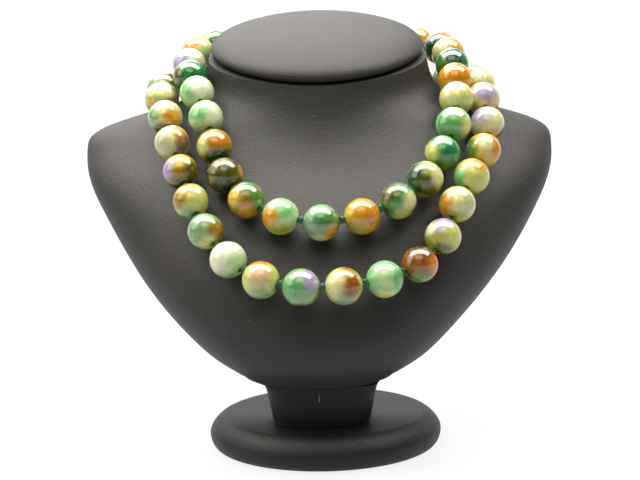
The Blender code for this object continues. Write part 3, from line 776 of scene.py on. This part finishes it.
def swept(name, path, radius, sides, closed):
    """A tube of one radius along a path of points."""
    count = len(path)
    bm = bmesh.new()
    rows = []
    side = None
    for i in range(count):
        ahead = path[(i + 1) % count] if closed or i + 1 < count else path[i]
        behind = path[i - 1] if closed or i else path[i]
        way = (ahead - behind).normalized()
        side = (way.orthogonal() if side is None else side - way * side.dot(way)).normalized()
        other = way.cross(side)
        turns = [math.tau * k / sides for k in range(sides)]
        rows.append([bm.verts.new(path[i] + (side * math.cos(turn) + other * math.sin(turn)) * radius)
                     for turn in turns])
    for low, high in list(zip(rows, rows[1:])) + ([(rows[-1], rows[0])] if closed else []):
        for k in range(sides):
            bm.faces.new((low[k], low[(k + 1) % sides], high[(k + 1) % sides], high[k]))
    if not closed:
        bm.faces.new(rows[0][::-1])
        bm.faces.new(rows[-1])
    bmesh.ops.recalc_face_normals(bm, faces=bm.faces)
    mesh = bpy.data.meshes.new(name)
    bm.to_mesh(mesh)
    bm.free()
    return mesh


knot_path = []
for i in range(knot_steps):
    t = math.tau * i / knot_steps
    spread = (2 + math.cos(3 * t)) / 3 * (knot_width / 2 - silk_diameter / 2)
    height = math.sin(3 * t) * knot_height / 2
    knot_path.append(Vector((spread * math.cos(2 * t), spread * math.sin(2 * t), height)))
knot_mesh = swept("overhand_knot", knot_path, silk_diameter / 2, 7, True)
knot_shape = bpy.data.objects.new("overhand_knot", knot_mesh)
knot_tree = threading_tree("knots_on_rope", silk_finish)


def silk_tree():
    """A round cord of a named width along a path."""
    tree = bpy.data.node_groups.new("silk_through_beads", "GeometryNodeTree")
    tree.interface.new_socket("Path", in_out="INPUT", socket_type="NodeSocketGeometry")
    tree.interface.new_socket("Width", in_out="INPUT", socket_type="NodeSocketFloat")
    tree.interface.new_socket("Cord", in_out="OUTPUT", socket_type="NodeSocketGeometry")
    given = node(tree, "NodeGroupInput")
    half = node(tree, "ShaderNodeMath", {0: given.outputs["Width"]}, operation="MULTIPLY")
    half.inputs[1].default_value = 0.5
    curve = node(tree, "GeometryNodeMeshToCurve", {"Mesh": given.outputs["Path"]})
    outline = node(tree, "GeometryNodeCurvePrimitiveCircle", {"Radius": half.outputs[0]}, Resolution=8)
    cord = node(tree, "GeometryNodeCurveToMesh",
                {"Curve": curve.outputs["Curve"], "Profile Curve": outline.outputs["Curve"]}, Fill_Caps=True)
    whole = node(tree, "GeometryNodeRealizeInstances", {"Geometry": cord.outputs["Mesh"]})
    dressed = node(tree, "GeometryNodeSetMaterial", {"Geometry": whole.outputs["Geometry"]},
                   Material=silk_finish)
    node(tree, "NodeGroupOutput", {"Cord": dressed.outputs["Geometry"]})
    return tree


cord_tree = silk_tree()
silks = (("inner_silk_cord", 0, 21, "inner_silk"), ("rear_silk_over", 21, 29, "rear_string_over"),
         ("outer_silk_cord", 29, 50, "outer_silk"), ("rear_silk_under", 50, 58, "rear_string_under"))
for name, first, last, replaced in silks:
    run = list(range(first, last + 1))
    where = places[[i % bead_count for i in run]]
    line = bpy.data.meshes.new(name)
    inside = []
    for i in run:
        here, ahead = places[i % bead_count], ways[i % bead_count] * thread_reach
        if i > first:
            inside.append(here - ahead)
        if i < last:
            inside.append(here + ahead)
    line.from_pydata([tuple(p) for p in inside], [(k, k + 1) for k in range(len(inside) - 1)], [])
    cord = grown(name, line, cord_tree, Width=silk_diameter)
    gaps = (where[:-1] + where[1:]) / 2
    gap_ways = where[1:] - where[:-1]
    knots = grown(name + "_knots", points_mesh(name, gaps, gap_ways, np.ones(len(gaps))), knot_tree,
                  Shape=knot_shape, Size=1.0)
    bm = bmesh.new()
    bm.from_mesh(cord)
    bm.from_mesh(knots)
    bm.to_mesh(cord)
    bm.free()
    piece(name, cord, silk_finish, "silk", replaced, crease=60)
bpy.data.objects.remove(knot_shape)

# Table and studio light
# A plain table that sweeps up far behind the bust. It is no lamp but glows white, standing
# in for light from below, and glows less near the bust as painted shade. One wide soft
# box hangs overhead, with weak fill from the front, back and left.
table_half = 4.0
sweep_start = 1.7
sweep_radius = 0.5
sweep_steps = 16
table_front = -3.0
wall_height = 4.2
table_gap = 0.0001

profile = [(table_front, 0.0), (sweep_start, 0.0)]
for i in range(1, sweep_steps + 1):
    turn = math.pi / 2 * i / sweep_steps
    profile.append((sweep_start + sweep_radius * math.sin(turn), sweep_radius * (1 - math.cos(turn))))
profile.append((sweep_start + sweep_radius, wall_height))
table_mesh = bpy.data.meshes.new("white_table")
corners = [(x, y, z - table_gap) for y, z in profile for x in (-table_half, table_half)]
strips = [(2 * k, 2 * k + 1, 2 * k + 3, 2 * k + 2) for k in range(len(profile) - 1)]
table_mesh.from_pydata(corners, [], strips)
table_mesh.shade_smooth()
table_finish, tree, shader = new_finish("glowing_table_with_painted_shade")
shader.inputs["Base Color"].default_value = linear("#3c3c3c")
shader.inputs["Roughness"].default_value = 0.8
shader.inputs["Emission Color"].default_value = (1, 1, 1, 1)
# Painted shade: the glow is weaker near the bust than far from it.
place = node(tree, "ShaderNodeTexCoord").outputs["Object"]
away = node(tree, "ShaderNodeVectorMath", {0: place}, operation="LENGTH")
glow = node(tree, "ShaderNodeMapRange", {"Value": away.outputs["Value"]})
glow.inputs["From Min"].default_value = 0.4
glow.inputs["From Max"].default_value = 1.3
glow.inputs["To Min"].default_value = 0.85
glow.inputs["To Max"].default_value = 1.0
tree.links.new(glow.outputs["Result"], shader.inputs["Emission Strength"])
table_mesh.materials.append(table_finish)
table = bpy.data.objects.new("white_table", table_mesh)
bpy.context.scene.collection.objects.link(table)


def soft_box(name, place, aim, width, depth, power):
    """A rectangular soft box turned to face a point."""
    light = bpy.data.lights.new(name, "AREA")
    light.shape = "RECTANGLE"
    light.size, light.size_y = width, depth
    light.energy = power
    light.color = (1.0, 0.965, 0.915)
    made = bpy.data.objects.new(name, light)
    made.location = place
    made.rotation_euler = (Vector(aim) - Vector(place)).to_track_quat("-Z", "Y").to_euler()
    bpy.context.scene.collection.objects.link(made)


soft_box("overhead_soft_box", (0, 0.07, 0.95), (0, 0.03, 0.1), 1.8, 0.6, 33)
soft_box("front_soft_box", (-0.06, -0.46, 0.72), (0, 0, 0.1), 0.6, 0.38, 1.65)
soft_box("back_soft_box", (-0.3, 0.6, 0.7), (0, 0.03, 0.16), 1.1, 0.45, 5)
soft_box("left_soft_box", (-0.75, -0.1, 0.55), (0, 0, 0.1), 0.6, 0.6, 3)
surroundings = bpy.data.worlds.new("soft_room")
surroundings.use_nodes = True
glow = surroundings.node_tree.nodes["Background"]
glow.inputs["Color"].default_value = (1, 1, 1, 1)
glow.inputs["Strength"].default_value = 0.1
bpy.context.scene.world = surroundings
bpy.context.scene.view_settings.view_transform = "Standard"
